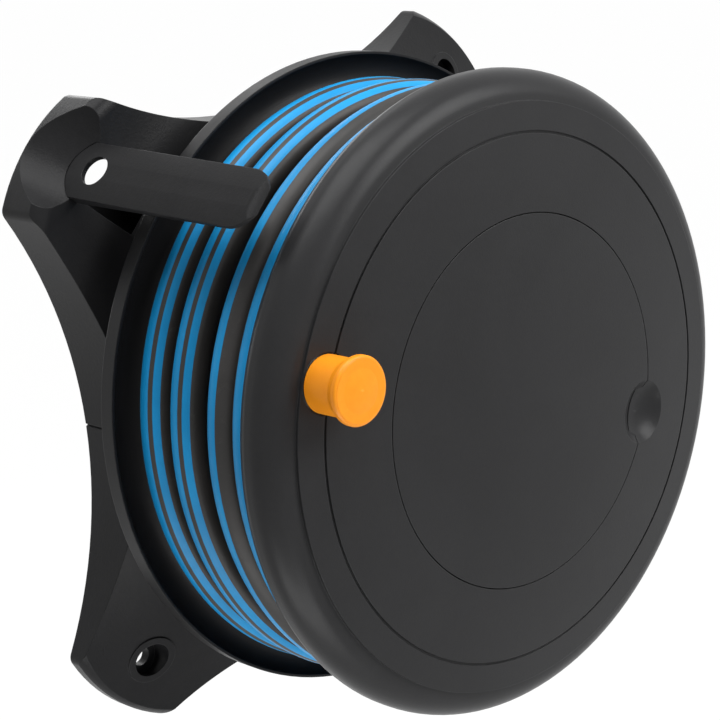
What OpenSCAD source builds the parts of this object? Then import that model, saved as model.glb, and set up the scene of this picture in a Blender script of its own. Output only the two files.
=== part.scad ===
// Wall-mounted extension cord reel with a crank knob, a lift-off lid over the sockets
// and a guide arm. Every piece is drawn with the wall at z = 0 and the drum's axis on z,
// then turned so that the wall face lies in the XZ plane and the front looks along -Y.

/* [Drum] */
// Diameter of the front flange over its rounded rim
front_flange_d = 282; // [270:1:288]
// Diameter of the rear flange
rear_flange_d = 288.6; // [284:0.2:296]
// Distance from the wall to the back of the rear flange's rim
rear_flange_back = 47; // [46:0.5:52]
// Width of the rear flange's rim
rear_rim_w = 7.4; // [6:0.2:10]
// Free width between the flanges
winding_w = 75.4; // [75:0.2:80]
// Outer diameter of the barrel that the cord winds on
barrel_d = 180; // [176:1:184]
// Wall of the barrel
barrel_wall = 3; // [2.5:0.5:4]
// Depth of the front flange from its back face to the groove
front_depth = 23.6; // [22:0.2:27]
// Radius of the front face's shallow dome
dome_r = 900; // [700:10:1200]
// Diameter of the styling groove on the front face
groove_d = 230; // [222:1:234]
// Wall of the moulded covers
cover_wall = 2.8; // [2.4:0.1:3.2]

/* [Lid] */
// Diameter of the opening that the lid closes
lid_opening_d = 163; // [160:1:166]
// Gap all round the lid
lid_gap = 0.5; // [0.3:0.1:0.8]
// Thickness of the lid
lid_t = 2.6; // [2.2:0.1:3]
// Angle of the finger notch on the lid's seam
notch_angle = -20; // [-40:1:0]
// Diameter of the finger notch at the face
notch_d = 29; // [24:1:32]
// Depth of the finger notch
notch_depth = 6; // [4:0.5:7]

/* [Knob] */
// Distance of the crank knob from the drum's axis
knob_pitch_r = 116; // [112:1:118]
// Angle of the crank knob, opposite the notch
knob_angle = 160; // [140:1:180]
// Diameter of the knob's sleeve
knob_d = 24; // [22:0.5:27]
// Diameter of the knob's cap
knob_cap_d = 28.4; // [27.5:0.1:31]
// Height of the knob over its seat, cap included
knob_h = 20.5; // [18:0.5:26]
// Diameter of the steel shoulder screw inside the knob
knob_screw_d = 9; // [8:0.5:10]

/* [Bracket] */
// Distance from the axis to the middle of each hollowed side
bracket_waist = 118; // [114:1:122]
// Radius of the hollowed sides
side_arc_r = 206; // [200:1:215]
// Distance from the axis to the end of each arm
arm_reach = 181; // [179:1:184]
// Radius of the rounded arm ends
arm_end_r = 84; // [80:1:90]
// Radius of the corners of the arm ends
arm_corner_r = 5; // [4:0.5:7]
// Height of the bracket's middle over the wall
bracket_h = 36; // [34:0.5:37]
// Height of the three low arms near their ends
low_arm_h = 12.8; // [12:0.1:14]
// Height of the arm that carries the guide arm
guide_pedestal_h = 24; // [23:0.5:26]
// Wall of the bracket's moulding
bracket_wall = 3; // [2.5:0.5:4]
// Distance between wall screws, across and up
screw_spacing = 224; // [216:1:228]
// Diameter of the wall screw holes
screw_hole_d = 9; // [6:0.2:10]
// Diameter of the recess for a wall screw's head
screw_head_d = 16; // [14:0.2:16.4]
// Diameter of the ring round each screw hole
screw_ring_d = 22.4; // [21:0.2:24]

/* [Guide arm] */
// Distance from the axis to the guide arm's outer face, at the wall
guide_r = 168.7; // [167:0.1:170]
// Lean of the guide arm towards the drum, in degrees
guide_lean = 3.7; // [3:0.1:4]
// Width of the guide arm
guide_w = 27; // [26:0.5:28]
// Thickness of the guide arm's plate
guide_t = 2.2; // [2:0.1:2.6]
// Radius of the guide arm's slightly crowned outer face
guide_crown_r = 60; // [50:1:80]
// Reach of the guide arm from the wall
guide_reach = 131.8; // [130:0.2:134]
// Diameter of the hole near the guide arm's root
guide_hole_d = 13.6; // [12:0.2:14]
// Height of that hole's centre over the wall
guide_hole_z = 32.1; // [32:0.1:34]

/* [Cord] */
// Diameter of the cord
cord_d = 15; // [14:0.1:15]
// Radius to the middle of the cord in the outer layer
cord_layer_r = 126; // [125.6:0.2:127]

/* [Bearing] */
// Diameter of the fixed spindle
spindle_d = 34; // [30:1:36]
// Bore of the spindle
spindle_bore_d = 24; // [20:1:25]
// Wall of the bearing bushes
bush_wall = 3; // [2.5:0.5:3.5]
// Running clearance between spindle and bushes, on the radius
bush_clearance = 0.05; // [0.02:0.01:0.08]
// Wall of the hub tube round the bushes
hub_wall = 5; // [4:0.5:6]

/* [Sockets] */
// Diameter of the socket panel
panel_d = 151; // [148:1:152]
// Thickness of the socket panel
panel_t = 3; // [2.5:0.5:4]
// Distance from the axis to the middle of each socket
socket_pitch_r = 43; // [41:0.5:46]
// Diameter of each socket's raised face
socket_face_d = 37; // [34:0.5:38]
// Diameter of the reset button
button_d = 9; // [8:0.5:10]
// Travel of the reset button
button_travel = 2.5; // [1.5:0.5:3]

/* [Hidden] */
$fn = 96;

// Fits
touch_gap = 0.3;
seat_gap = 0.1;
eps = 0.01;
far = 400;

// Stations along the axis, measured from the wall
rear_rim_front = rear_flange_back + rear_rim_w;
web_t = 3;
rear_web_front = rear_rim_front - 0.8;
winding_z0 = rear_web_front;
winding_z1 = winding_z0 + winding_w;
disc_t = 3;
face_z = winding_z1 + front_depth;
spindle_flange_t = 6;
spindle_flange_front = bracket_h + spindle_flange_t;
washer_t = 1.2;
bush_flange_t = 3;
hub_back = spindle_flange_front + washer_t + bush_flange_t;
hub_front = winding_z1 - 9;
spindle_end = hub_front + bush_flange_t + touch_gap;
retainer_t = 2;
panel_top = winding_z1 + 9;

// Radii
barrel_r = barrel_d / 2;
spindle_r = spindle_d / 2;
bush_bore_r = spindle_r + bush_clearance;
bush_r = bush_bore_r + bush_wall;
hub_r = bush_r + hub_wall;
front_r = front_flange_d / 2;
rear_r = rear_flange_d / 2;
groove_r = groove_d / 2;
lid_opening_r = lid_opening_d / 2;
lid_r = lid_opening_r - lid_gap;
cord_r = cord_d / 2;
core_r = cord_layer_r - cord_r - 0.5;
disc_r = front_r - 6.2;

// Height of the domed face at a distance r from the axis
function dome_z(r) = face_z + (groove_r * groove_r - r * r) / (2 * dome_r);
// Height of the middle of the dome's sphere
dome_centre = dome_z(0) - dome_r;

// Turns a piece drawn on z so that the wall lies in the XZ plane
module mounted() {
    rotate([90, 0, 0]) children();
}

// Copies a piece to n places round the axis
module ring_of(n, r, first = 0) {
    for (i = [0:n - 1]) rotate([0, 0, first + 360 * i / n]) translate([r, 0, 0]) children();
}

module tube(r_out, r_in, z0, z1) {
    translate([0, 0, z0]) difference() {
        cylinder(r = r_out, h = z1 - z0);
        translate([0, 0, -1]) cylinder(r = r_in, h = z1 - z0 + 2);
    }
}

module disc(r, z0, z1) {
    translate([0, 0, z0]) cylinder(r = r, h = z1 - z0);
}

// A pan-head screw that points along -z, with its head resting on z = 0
module screw(shank_r, length, head_r, head_h) {
    translate([0, 0, -length]) cylinder(r = shank_r, h = length + eps);
    difference() {
        cylinder(r1 = head_r, r2 = head_r * 0.8, h = head_h);
        translate([0, 0, head_h * 0.45]) cube([head_r * 1.1, head_r * 0.24, head_h * 1.2], center = true);
        translate([0, 0, head_h * 0.45]) cube([head_r * 0.24, head_r * 1.1, head_h * 1.2], center = true);
    }
}

// ---------------------------------------------------------------- wall bracket

arm_angle = 45;
guide_angle = 135;
side_centre = bracket_waist + side_arc_r;
end_centre = arm_reach - arm_end_r;
screw_r = screw_spacing / sqrt(2);

// Middle of the corner rounding between an arm's end arc and the hollowed side next to it,
// on the arm along +x: inside the end arc and outside the side's circle.
function corner_centre(inset) =
    let (e = arm_end_r - arm_corner_r, s = side_arc_r + arm_corner_r,
         ex = end_centre, sx = side_centre * cos(arm_angle), sy = side_centre * sin(arm_angle),
         d = norm([sx - ex, sy]), a = (e * e - s * s + d * d) / (2 * d),
         h = sqrt(e * e - a * a), ux = (sx - ex) / d, uy = sy / d)
    [ex + a * ux + h * uy, a * uy - h * ux];

// One corner of an arm: the sharp tip that is cut away and the round that replaces it
module corner_cut(inset) {
    c = corner_centre(inset);
    end_dir = (c - [end_centre, 0]) / norm(c - [end_centre, 0]);
    side_mid = side_centre * [cos(arm_angle), sin(arm_angle)];
    side_dir = (c - side_mid) / norm(c - side_mid);
    p = [end_centre, 0] + end_dir * (arm_end_r + 4);
    q = side_mid + side_dir * (side_arc_r - 4);
    polygon([c, p, p + (q - c) * 1.2, q]);
}

// Outline of the bracket, drawn inwards by inset
module bracket_outline(inset = 0) {
    round_r = arm_corner_r - inset;
    difference() {
        union() {
            for (a = [45:90:315]) rotate(a) translate([end_centre, 0])
                circle(r = arm_end_r - inset);
        }
        for (a = [0:90:270]) rotate(a) translate([side_centre, 0])
            circle(r = side_arc_r + inset);
        for (a = [45:90:315]) rotate(a) {
            corner_cut(inset);
            mirror([0, 1]) corner_cut(inset);
        }
    }
    for (a = [45:90:315], m = [0, 1]) rotate(a) mirror([0, m])
        translate(corner_centre(inset)) circle(r = round_r);
}

low_sweep_r = 186;
low_sweep_x = 223;
low_end_r = 11;
high_end_r = 8;
end_overlap = 0.6;
high_sweep_start = bracket_waist + 2;
saddle_r = 36;

// Height of the low arms' hollowed upper face at a distance r from the axis
function low_z(r) = low_arm_h + sqrt(pow(low_sweep_r, 2) - pow(low_sweep_x - 166, 2))
    - sqrt(pow(low_sweep_r, 2) - pow(low_sweep_x - r, 2));

// Section of the bracket's middle, which sweeps down to the low arms
module low_section(inset = 0) {
    bottom = inset > 0 ? -1 : 0;
    difference() {
        translate([0, bottom]) square([arm_reach + 2, bracket_h - inset - bottom]);
        translate([low_sweep_x, low_z(low_sweep_x - low_sweep_r * 0.5) + low_sweep_r * sqrt(0.75)])
            circle(r = low_sweep_r + inset, $fn = 360);
    }
}

// Section of the bracket through the arm that carries the guide arm
module high_section(inset = 0) {
    bottom = inset > 0 ? -1 : 0;
    sweep_x = arm_reach - high_end_r - 4;
    run = sweep_x - high_sweep_start;
    drop = bracket_h - guide_pedestal_h;
    sweep_r = (run * run + drop * drop) / (2 * drop);
    difference() {
        translate([0, bottom]) square([sweep_x, bracket_h - inset - bottom]);
        translate([sweep_x, sweep_r + guide_pedestal_h]) circle(r = sweep_r + inset, $fn = 180);
    }
    translate([sweep_x - 1, bottom]) square([18, guide_pedestal_h - inset - bottom]);
}

// What is cut off round an arm's end, so that its upper edge rolls over
module end_cutter(top, round_r, inset) {
    mid_r = arm_end_r + end_overlap - round_r;
    intersection() {
        translate([end_centre, 0, 0]) rotate_extrude() difference() {
            translate([mid_r, top - round_r]) square([round_r + 10, bracket_h]);
            translate([mid_r, top - round_r]) circle(r = round_r - inset);
        }
        translate([150, -100, -1]) cube([60, 200, 100]);
    }
}

module bracket_body(inset = 0) {
    difference() {
        intersection() {
            translate([0, 0, -1]) linear_extrude(height = bracket_h + 2) bracket_outline(inset);
            union() {
                rotate_extrude() low_section(inset);
                intersection() {
                    rotate_extrude() high_section(inset);
                    rotate([0, 0, guide_angle - 45]) translate([0, 0, -2]) cube([far, far, far]);
                }
            }
        }
        for (a = [-135, -45, 45]) rotate([0, 0, a]) end_cutter(low_arm_h + 0.2, low_end_r, inset);
        rotate([0, 0, guide_angle]) end_cutter(guide_pedestal_h, high_end_r, inset);
    }
}

// Saddle at the end of the high arm, in front of the guide arm's root
module saddle(inset = 0) {
    rotate([0, 0, guide_angle]) translate([arm_reach, 0, 0]) rotate([0, -39, 0])
        translate([saddle_r, 0, -20]) cylinder(r = saddle_r + inset, h = 90);
}

// Part of the bracket's surface raised a little, that a screw ring is cut from
module raised_surface(rise) {
    translate([0, 0, rise]) rotate_extrude() low_section();
    rotate_extrude() low_section();
}

rib_t = 2.4;
rib_rings = [52, 84];

module bracket_ribs() {
    for (r = rib_rings) tube(r + rib_t / 2, r - rib_t / 2, 0, bracket_h - 1);
    for (i = [0:15]) rotate([0, 0, 22.5 * i]) translate([rib_rings[0], -rib_t / 2, 0])
        cube([(i % 4 == 2 ? 0 : 62) + 33, rib_t, bracket_h - 1]);
    for (a = [-135, -45, 45]) rotate([0, 0, a]) {
        for (s = [-1, 1]) translate([rib_rings[1], s * 14 - rib_t / 2, 0]) cube([110, rib_t, bracket_h]);
        for (x = [110, 134]) translate([x, -60, 0]) cube([rib_t, 120, bracket_h]);
    }
    rotate([0, 0, guide_angle]) translate([108, -60, 0]) cube([rib_t, 120, bracket_h]);
}

spindle_screw_r = 27;
foot_z = 10.5;
foot_h = 6.5;
foot_screw_y = 8;
guide_flange_t = 2;
guide_inner_r = guide_r - 7.7;
guide_foot_in = guide_inner_r - seat_gap;
window_r0 = guide_inner_r - 30;
window_half = guide_w / 2 - guide_flange_t - 0.2;
screw_floor_z = 3.2;
screw_floor_t = 4.8;
high_floor_t = 4.5;

// Ribs and walls inside the high arm, drawn with the arm along +x
module high_arm_inside() {
    // floor for the wall screw
    translate([screw_r, -50, 0]) cube([60, 100, high_floor_t]);
    translate([screw_r, 0, 0]) cylinder(r = 8.5, h = high_floor_t);
    // block that the guide arm's foot stands in
    translate([guide_foot_in - 3, -guide_w / 2 - 3, 0]) cube([40, guide_w + 6, guide_pedestal_h]);
    // walls on both sides of the window, the one under the guide arm's hole cut short
    for (s = [0, 1]) translate([window_r0 - 16, s * (2 * window_half + 2.4) - window_half - 2.4, 20 - 20 * s])
        cube([guide_foot_in - window_r0 + 16, 2.4, bracket_h]);
    // shelf behind the window's lower half
    translate([window_r0 - 16, 0.6, 9.5])
        cube([guide_foot_in - 2 - window_r0 + 16, window_half + 0.4, 2.5]);
    translate([window_r0 - 16, -window_half - 2, 9.5]) cube([29, window_half + 4, 2.5]);
}

module wall_bracket() {
    color([0.2, 0.2, 0.205]) mounted() difference() {
        union() {
            difference() {
                bracket_body();
                saddle();
                difference() {
                    bracket_body(bracket_wall);
                    saddle(bracket_wall);
                }
            }
            difference() {
                intersection() {
                    bracket_body(bracket_wall / 2);
                union() {
                    bracket_ribs();
                    rotate([0, 0, guide_angle]) high_arm_inside();
                    for (a = [-135, -45, 45]) rotate([0, 0, a]) translate([screw_r, 0, 0])
                        cylinder(r = screw_ring_d / 2 + 0.5, h = bracket_h);
                }
                }
                saddle(1);
            }
            // seat of the spindle
            disc(spindle_screw_r + 9, 0, bracket_h - 1);
            // rings round the screws of the three low arms
            for (a = [-135, -45, 45]) rotate([0, 0, a]) intersection() {
                translate([screw_r, 0, screw_floor_z]) cylinder(r = screw_ring_d / 2, h = bracket_h);
                raised_surface(0.7);
            }
        }
        // recess, hole and open back of each of those screw places
        for (a = [-135, -45, 45]) rotate([0, 0, a]) translate([screw_r, 0, 0]) {
            translate([0, 0, screw_floor_z + screw_floor_t]) cylinder(r = screw_head_d / 2, h = far);
            translate([0, 0, -1]) cylinder(r = screw_hole_d / 2, h = 20);
            translate([0, 0, -1]) cylinder(r = screw_ring_d / 2 - 1.9, h = screw_floor_z + 1);
        }
        rotate([0, 0, guide_angle]) {
            translate([screw_r, 0, -1]) cylinder(r = screw_hole_d / 2, h = high_floor_t + 2);
            // window in front of the high arm's screw
            translate([window_r0, -window_half, 12]) cube([guide_r - guide_t - 1.2 - window_r0, 2 * window_half, far]);
            // slot for the guide arm's foot, and its screw holes
            intersection() {
                translate([guide_foot_in, -guide_w / 2 - seat_gap, foot_z]) cube([far, guide_w + 2 * seat_gap, far]);
                guide_crown(seat_gap);
            }
            // room for the wall screw's head under the foot
            translate([screw_r - 12, -6.6, high_floor_t]) cube([18.6, 13.2, foot_z - 2 - high_floor_t]);
            for (s = [-1, 1]) translate([guide_inner_r + 3.8, s * foot_screw_y, -1]) {
                cylinder(r = 1.6, h = 20);
                cylinder(r = 3.2, h = 3);
            }
        }
        // holes for the spindle's screws, which come in from the wall side
        for (i = [0:3]) rotate([0, 0, 45 + 90 * i]) translate([spindle_screw_r, 0, 0]) {
            translate([0, 0, -1]) cylinder(r = 2.6, h = far);
            translate([0, 0, -1]) cylinder(r = 6, h = bracket_h - 9);
        }
        // hollow of the seat, with a cross of ribs in it
        difference() {
            translate([0, 0, -1]) cylinder(r = 17, h = bracket_h - 6);
            for (a = [0, 90]) rotate([0, 0, a]) translate([-20, -rib_t / 2, -2]) cube([40, rib_t, bracket_h]);
        }
    }
}

// ---------------------------------------------------------------- guide arm

guide_tip_r = guide_w / 2;
guide_nose_r = 9;
guide_nose_z = guide_reach - 7.7;
guide_tip_inner = guide_inner_r - 3;

// Distance of the arm's outer face from the axis at a height z over the wall
function guide_face(z) = guide_r - z * tan(guide_lean);

// Side view of the arm, drawn inwards from its outer face by depth
module guide_side(depth) {
    nose_z = guide_nose_z - (depth > 0 ? 2.4 : 0);
    polygon([[guide_face(foot_z + seat_gap) - depth, foot_z + seat_gap],
             [guide_face(nose_z) - depth, nose_z], [guide_tip_inner, nose_z],
             [guide_inner_r, guide_hole_z], [guide_inner_r, foot_z + seat_gap]]);
    if (depth == 0) intersection() {
        translate([guide_face(nose_z) - guide_nose_r, nose_z]) circle(r = guide_nose_r);
        translate([guide_tip_inner, nose_z - eps]) square([guide_nose_r, guide_nose_r]);
    }
}

module guide_plan(w) {
    translate([0, -w / 2, 0]) cube([far, w, guide_reach - guide_tip_r]);
    translate([0, 0, guide_reach - guide_tip_r]) rotate([0, 90, 0]) cylinder(r = w / 2, h = far);
}

// Crowned outer face of the arm, grown by extra
module guide_crown(extra = 0) {
    translate([guide_r - guide_crown_r, 0, 0]) rotate([0, -guide_lean, 0]) translate([0, 0, -20])
        cylinder(r = guide_crown_r + extra, h = 2 * guide_reach, $fn = 180);
}

module guide_arm() {
    color([0.2, 0.2, 0.205]) mounted() rotate([0, 0, guide_angle]) difference() {
        intersection() {
            rotate([90, 0, 0]) translate([0, 0, -guide_w / 2]) linear_extrude(height = guide_w) guide_side(0);
            guide_plan(guide_w);
            guide_crown();
        }
        // channel on the side that faces the drum
        intersection() {
            rotate([90, 0, 0]) translate([0, 0, -guide_w / 2]) linear_extrude(height = guide_w)
                translate([-0.01, 0]) guide_side(guide_t);
            guide_plan(guide_w - 2 * guide_flange_t);
            translate([0, -far / 2, foot_z + foot_h]) cube([far, far, far]);
        }
        translate([guide_inner_r - 41, 0, guide_hole_z]) rotate([0, 90, 0]) cylinder(r = guide_hole_d / 2, h = far);
        for (s = [-1, 1]) translate([guide_inner_r + 3.8, s * foot_screw_y, 0])
            cylinder(r = 1.45, h = foot_z + foot_h - 1.5);
    }
}

module guide_arm_screws() {
    color([0.6, 0.6, 0.62]) mounted() rotate([0, 0, guide_angle])
        for (s = [-1, 1]) translate([guide_inner_r + 3.8, s * foot_screw_y, 2])
            rotate([180, 0, 0]) screw(1.4, 13, 2.9, 1.6);
}

// ---------------------------------------------------------------- spindle and bearing

module spindle() {
    color([0.62, 0.63, 0.65]) mounted() difference() {
        union() {
            disc(spindle_screw_r + 9, bracket_h, spindle_flange_front);
            disc(spindle_r, bracket_h, spindle_end);
        }
        translate([0, 0, bracket_h - 1]) cylinder(r = spindle_bore_d / 2, h = spindle_end - bracket_h - 13);
        translate([0, 0, bracket_h]) cylinder(r = 4, h = far);
        for (i = [0:3]) rotate([0, 0, 45 + 90 * i]) translate([spindle_screw_r, 0, bracket_h - 1])
            cylinder(r = 2.1, h = 20);
    }
}

module spindle_screws() {
    color([0.6, 0.6, 0.62]) mounted()
        for (i = [0:3]) rotate([0, 0, 45 + 90 * i]) translate([spindle_screw_r, 0, bracket_h - 10])
            rotate([180, 0, 0]) screw(2.05, 14, 4.4, 3);
}

module thrust_washer() {
    color([0.7, 0.7, 0.72]) mounted()
        tube(spindle_r + 8, spindle_r + 0.2, spindle_flange_front + seat_gap, spindle_flange_front + washer_t - seat_gap);
}

module bush(sleeve_z, flange_z, length) {
    tube(bush_r, bush_bore_r, sleeve_z, sleeve_z + length);
    tube(bush_r + 5, bush_bore_r, flange_z, flange_z + bush_flange_t);
}

module rear_bush() {
    color([0.86, 0.85, 0.8]) mounted() bush(hub_back - eps, hub_back - bush_flange_t, 16);
}

module front_bush() {
    color([0.86, 0.85, 0.8]) mounted() bush(hub_front - 16 + eps, hub_front, 16);
}

module retaining_washer() {
    color([0.7, 0.7, 0.72]) mounted() tube(bush_r + 4, 4.2, spindle_end, spindle_end + retainer_t);
}

module retaining_screw() {
    color([0.6, 0.6, 0.62]) mounted() difference() {
        union() {
            disc(3.95, spindle_end - 11, spindle_end + retainer_t + eps);
            disc(7, spindle_end + retainer_t, spindle_end + retainer_t + 4);
        }
        translate([0, 0, spindle_end + retainer_t + 1.5]) cylinder(r = 3.4, h = 5, $fn = 6);
    }
}

// ---------------------------------------------------------------- drum

flange_screw_r = barrel_r - barrel_wall - 7;
rim_dish_r = 10.9;

module rear_flange() {
    color([0.1, 0.1, 0.105]) mounted() difference() {
        union() {
            rotate_extrude() difference() {
                union() {
                    translate([0, rear_web_front - web_t]) square([rear_r - 15, web_t]);
                    translate([rear_r - 21, rear_flange_back]) square([21, rear_rim_front - rear_flange_back]);
                }
                translate([rear_r - 10.4, rear_flange_back + 2.3 + rim_dish_r]) circle(r = rim_dish_r);
            }
            for (i = [0:11]) rotate([0, 0, 15 + 30 * i]) translate([barrel_r + 6, -1.2, rear_flange_back + 0.6])
                cube([rear_r - barrel_r - 26, 2.4, rear_web_front - web_t - rear_flange_back]);
            tube(barrel_r + 7, barrel_r + 4.6, rear_flange_back + 0.6, rear_web_front - web_t + eps);
        }
        translate([0, 0, 1]) cylinder(r = hub_r + 0.3, h = far);
        ring_of(6, flange_screw_r) cylinder(r = 2.2, h = far);
    }
}

module rear_flange_screws() {
    color([0.6, 0.6, 0.62]) mounted() ring_of(6, flange_screw_r)
        translate([0, 0, rear_web_front - web_t]) rotate([180, 0, 0]) screw(1.9, 14, 4, 2.4);
}

cord_hole_angle = 30;
barrel_floor_t = 3.5;
cord_hole_z = winding_z0 + barrel_floor_t + cord_r + 0.8;

module drum_barrel() {
    color([0.13, 0.13, 0.135]) mounted() difference() {
        union() {
            rotate_extrude() polygon([[0, hub_back], [hub_r, hub_back], [hub_r, winding_z0],
                [barrel_r, winding_z0], [barrel_r, winding_z1], [barrel_r - barrel_wall, winding_z1],
                [barrel_r - barrel_wall, winding_z0 + barrel_floor_t], [hub_r, winding_z0 + barrel_floor_t],
                [hub_r, hub_front], [0, hub_front]]);
            for (i = [1:7]) rotate([0, 0, 22.5 + 45 * i]) translate([hub_r - 1, -1.5, winding_z0 + 1])
                cube([barrel_r - hub_r - 1, 3, 21]);
            ring_of(6, flange_screw_r) translate([0, 0, winding_z0 + 1]) cylinder(r = 5, h = 17);
            ring_of(6, flange_screw_r, 30) translate([0, 0, winding_z1 - 18]) cylinder(r = 5, h = 18);
            for (i = [0:5]) rotate([0, 0, 30 + 60 * i]) translate([flange_screw_r, -2, winding_z1 - 17])
                cube([8.5, 4, 16]);
        }
        disc(bush_r + 0.02, 0, far);
        ring_of(6, flange_screw_r) translate([0, 0, winding_z0 - 1]) cylinder(r = 1.95, h = 16);
        ring_of(6, flange_screw_r, 30) translate([0, 0, winding_z1 - 15]) cylinder(r = 1.95, h = 16);
        rotate([0, 0, cord_hole_angle]) translate([barrel_r - 12, 0, cord_hole_z]) rotate([0, 90, 0])
            cylinder(r = cord_r + 0.4, h = 24);
    }
}

module front_disc() {
    color([0.13, 0.13, 0.135]) mounted() difference() {
        union() {
            tube(disc_r, panel_d / 2 - 8, winding_z1, winding_z1 + disc_t);
            tube(panel_d / 2 + 3.5, panel_d / 2 + 0.5, winding_z1, panel_top);
            ring_of(4, panel_d / 2 - 5, 20) translate([0, 0, winding_z1]) cylinder(r = 4.5, h = panel_top - panel_t - winding_z1);
        }
        ring_of(6, flange_screw_r, 30) cylinder(r = 2.2, h = far);
        ring_of(6, flange_screw_r, 30) translate([0, 0, winding_z1 + disc_t]) cylinder(r = 4.5, h = far);
        ring_of(4, panel_d / 2 - 5, 20) translate([0, 0, winding_z1 + 1]) cylinder(r = 1.45, h = far);
        ring_of(6, cover_screw_r, 10) cylinder(r = 2, h = far);
        ring_of(6, cover_screw_r, 10) translate([0, 0, winding_z1 - eps]) cylinder(r1 = 4, r2 = 2, h = 2);
    }
}

cover_screw_r = 108;

module front_disc_screws() {
    color([0.6, 0.6, 0.62]) mounted() {
        ring_of(6, flange_screw_r, 30) translate([0, 0, winding_z1 + disc_t]) screw(1.9, 13, 4, 2.4);
        ring_of(6, cover_screw_r, 10) translate([0, 0, winding_z1 + 0.1]) {
            cylinder(r1 = 3.8, r2 = 1.8, h = 2);
            cylinder(r = 1.8, h = 13);
        }
    }
}

// ---------------------------------------------------------------- front cover and lid

rim_back_r = 5;
rim_front_r = 13;
rim_mid_z = winding_z1 + 7;

// Section of the front cover's outside, from the axis to the rim, drawn inwards by inset
module cover_section(inset = 0) {
    shoulder_r = front_r - rim_front_r;
    intersection() {
        translate([0, dome_centre]) circle(r = dome_r - inset, $fn = 1440);
        union() {
            square([shoulder_r, face_z + 20]);
            hull() {
                translate([shoulder_r, face_z - 3.4 - rim_front_r]) circle(r = rim_front_r - inset, $fn = 96);
                translate([front_r - rim_back_r, winding_z1 + rim_back_r])
                    circle(r = rim_back_r - inset, $fn = 64);
                translate([shoulder_r - 10, winding_z1 + inset]) square([1, 8]);
                translate([groove_r - 4, dome_z(groove_r) - inset - 1]) square([1, 1]);
            }
        }
        translate([0, winding_z1 + (inset > 0 ? -eps : 0)]) square([far, far]);
    }
}

notch_r = (notch_d * notch_d / 4 + notch_depth * notch_depth) / (2 * notch_depth);
notch_centre_z = dome_z(lid_opening_r) - notch_depth + notch_r;
lid_seat_w = 5;
lid_seat_z = dome_z(lid_opening_r) - lid_t - touch_gap;
knob_seat_z = face_z - 1.1;

module at_notch() {
    rotate([0, 0, notch_angle]) translate([lid_opening_r, 0, notch_centre_z]) children();
}

module at_knob() {
    rotate([0, 0, knob_angle]) translate([knob_pitch_r, 0, 0]) children();
}

module front_cover() {
    color([0.23, 0.23, 0.235]) mounted() difference() {
        union() {
            difference() {
                union() {
                    difference() {
                        rotate_extrude() cover_section();
                        difference() {
                            rotate_extrude() cover_section(cover_wall);
                            disc(lid_opening_r + cover_wall, winding_z1 - 1, far);
                        }
                    }
                    // bosses for the screws from the disc
                    ring_of(6, cover_screw_r, 10) translate([0, 0, winding_z1 + disc_t + 0.1])
                        cylinder(r = 4.5, h = front_depth - disc_t - 1);
                    // boss under the knob
                    at_knob() translate([0, 0, winding_z1 + disc_t + 0.1]) cylinder(r = 8, h = front_depth - disc_t - 2);
                    at_knob() translate([0, 0, knob_seat_z - 4.5]) cylinder(r = knob_d / 2 + 0.3, h = 4.5);
                }
                // well for the lid, and the space for the sockets under it
                disc(lid_opening_r, lid_seat_z, far);
                disc(lid_opening_r - lid_seat_w, winding_z1 - 1, far);
                disc(lid_opening_r + cover_wall + 1, winding_z1 - 1, lid_seat_z - 2.6);
                // room for the front disc
                disc(disc_r + seat_gap, winding_z1 - 1, winding_z1 + disc_t + seat_gap);
            }
            // cup of the finger notch behind the cover and its seat
            intersection() {
                at_notch() sphere(r = notch_r + cover_wall);
                rotate_extrude() cover_section(0.5);
                tube(lid_opening_r + 30, lid_opening_r - lid_seat_w, winding_z1, lid_seat_z);
            }
        }
        at_notch() sphere(r = notch_r);
        // styling groove
        tube(groove_r + 0.6, groove_r - 0.6, dome_z(groove_r) - 0.9, far);
        at_knob() translate([0, 0, knob_seat_z]) cylinder(r = knob_d / 2 + 0.6, h = far);
        at_knob() translate([0, 0, winding_z1 + 6]) cylinder(r = 2.6, h = far);
        ring_of(6, cover_screw_r, 10) translate([0, 0, winding_z1]) cylinder(r = 1.85, h = 14);
    }
}

module lid() {
    color([0.23, 0.23, 0.235]) mounted() difference() {
        union() {
            difference() {
                intersection() {
                    translate([0, 0, dome_centre]) sphere(r = dome_r, $fn = 720);
                    disc(lid_r, lid_seat_z + touch_gap - 0.2, far);
                }
                intersection() {
                    translate([0, 0, dome_centre]) sphere(r = dome_r - lid_t, $fn = 720);
                    disc(lid_opening_r - lid_seat_w - 3, 0, far);
                }
            }
            intersection() {
                at_notch() sphere(r = notch_r + lid_t);
                disc(lid_opening_r - lid_seat_w - 1, 0, dome_z(lid_opening_r));
            }
            tube(lid_opening_r - lid_seat_w - 1, lid_opening_r - lid_seat_w - 3.4, lid_seat_z - 3, lid_seat_z + 1.5);
        }
        at_notch() sphere(r = notch_r);
        ring_of(3, lid_opening_r - lid_seat_w - 2.2, notch_angle + 60)
            translate([0, 0, lid_seat_z - 2]) cube([4, 8.2, 8], center = true);
    }
}

// Three spring tongues of the lid that clip under the edge of the cover's seat
module lid_catches() {
    color([0.23, 0.23, 0.235]) mounted()
        ring_of(3, lid_opening_r - lid_seat_w - 2.2, notch_angle + 60) {
            translate([-1.2, -4, lid_seat_z - 5]) cube([2.2, 8, 6.9]);
            translate([-1.2, -4, lid_seat_z - 5]) cube([2.9, 8, 1.6]);
        }
}

// ---------------------------------------------------------------- sockets

button_pitch_r = 59.8;
socket_first = 45;

module at_button() {
    rotate([0, 0, -90]) translate([button_pitch_r, 0, 0]) children();
}

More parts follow.
